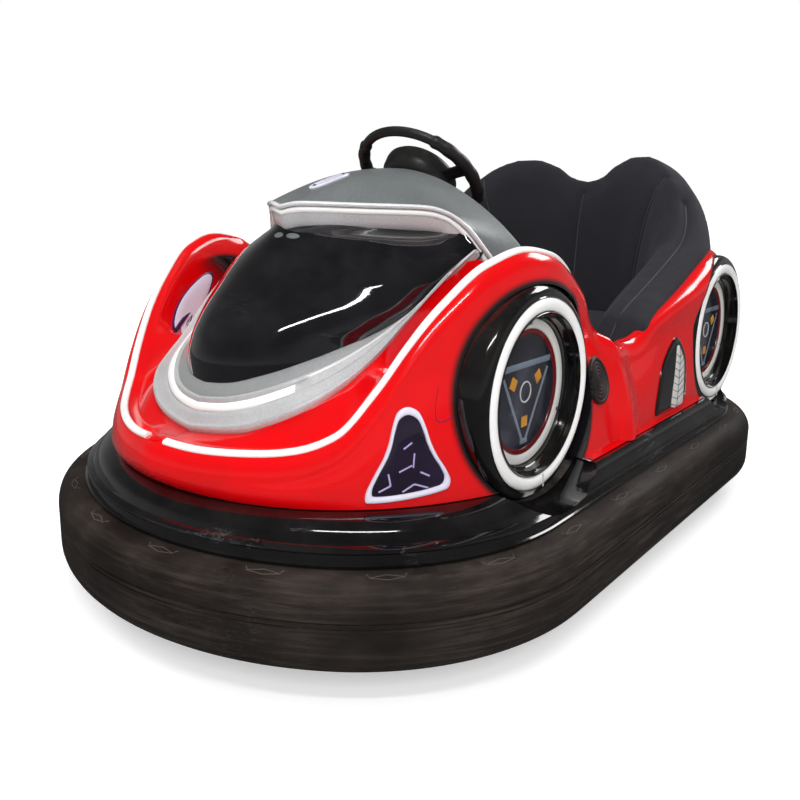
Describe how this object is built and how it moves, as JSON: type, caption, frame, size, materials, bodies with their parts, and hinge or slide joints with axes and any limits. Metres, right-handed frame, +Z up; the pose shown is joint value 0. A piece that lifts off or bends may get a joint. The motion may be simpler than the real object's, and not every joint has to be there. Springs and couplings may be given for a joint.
{
  "type": "bumper car",
  "caption": "Two-seat battery bumper car: moulded body on a steel chassis inside a rubber bumper ring, steered by its driven front wheel.",
  "frame": {"origin": "on the floor, under the middle of the rubber bumper", "axes": "+X to the car's left, nose towards -Y, +Z up"},
  "size_m": [1.22, 1.9498, 0.9517],
  "materials": {
    "bumper_rubber": "matte, worn",
    "tub_black": "gloss gel coat",
    "body_red": "gloss gel coat",
    "silver_paint": "metallic silver",
    "screen_black": "high gloss",
    "light_white": "satin diffuser",
    "ring_grey": "satin",
    "face_dark": "gloss",
    "lamp_black": "gloss",
    "speaker_black": "matte",
    "badge_white": "satin",
    "frame_steel": "black paint",
    "pan_steel": "grey paint",
    "liner_black": "matte",
    "seat_fabric": "woven",
    "wheel_rubber": "matte",
    "hub_metal": "satin",
    "axle_steel": "satin",
    "grip_black": "fine grain",
    "cast_grey": "painted",
    "battery_case": "matte"
  },
  "bodies": {
    "car": {"bumper": "bumper_rubber", "bumper_rail": "frame_steel", "chassis_rails": "frame_steel", "chassis_crossmembers": "frame_steel", "floor_pan": "pan_steel", "tow_lug": "frame_steel", "lower_tub": "tub_black", "nose_panel": "body_red", "fender_left": "body_red", "fender_right": "body_red", "side_left": "body_red", "side_right": "body_red", "tail_panel": "body_red", "nose_deck": "body_red", "tray": "silver_paint", "windscreen": "screen_black", "cowl": "silver_paint", "cowl_light": "light_white", "badge_plate": "badge_white", "fender_lights": "light_white", "tray_light": "light_white", "fender_lamps": "lamp_black", "headlamps": "lamp_black", "side_panels": "lamp_black", "speaker_covers": "speaker_black", "moulded_tyres": "tub_black", "light_rings": "light_white", "dish_rings": "ring_grey", "wheel_faces": "face_dark", "seat_base": "liner_black", "seat_cushion": "seat_fabric", "seat_back": "seat_fabric", "battery_pack": "battery_case", "bulkhead": "liner_black", "accelerator_pedal": "axle_steel", "swivel_bridge": "frame_steel", "swivel_housing": "cast_grey", "steering_gearbox": "cast_grey", "column_jacket": "frame_steel", "rear_brackets": "frame_steel", "rear_axles": "axle_steel"},
    "steering": {"steering_wheel": "grip_black", "steering_boss": "grip_black", "steering_shaft": "axle_steel"},
    "drive_fork": {"drive_fork": "frame_steel", "drive_axle": "axle_steel"},
    "drive_wheel": {"drive_motor": "hub_metal", "drive_tyre": "wheel_rubber"},
    "rear_left_wheel": {"rear_left_hub": "hub_metal", "rear_left_tyre": "wheel_rubber"},
    "rear_right_wheel": {"rear_right_hub": "hub_metal", "rear_right_tyre": "wheel_rubber"}
  },
  "joints": [
    {"name": "drive_swivel", "type": "hinge", "parent": "car", "child": "drive_fork", "pos_m": [0, -0.5, 0.25], "axis": [0, 0, 1], "continuous": true},
    {"name": "drive_spin", "type": "hinge", "parent": "drive_fork", "child": "drive_wheel", "pos_m": [0, -0.5, 0.11], "axis": [1, 0, 0], "continuous": true},
    {"name": "steering_turn", "type": "hinge", "parent": "car", "child": "steering", "pos_m": [0, -0.1, 0.84], "axis": [0, 0.6691, 0.7431], "continuous": true},
    {"name": "rear_left_spin", "type": "hinge", "parent": "car", "child": "rear_left_wheel", "pos_m": [0.4, 0.48, 0.07], "axis": [1, 0, 0], "continuous": true},
    {"name": "rear_right_spin", "type": "hinge", "parent": "car", "child": "rear_right_wheel", "pos_m": [-0.4, 0.48, 0.07], "axis": [1, 0, 0], "continuous": true}
  ],
  "couplings": [
    {"joint": "steering_turn", "follows": "drive_swivel", "ratio": 1}
  ]
}
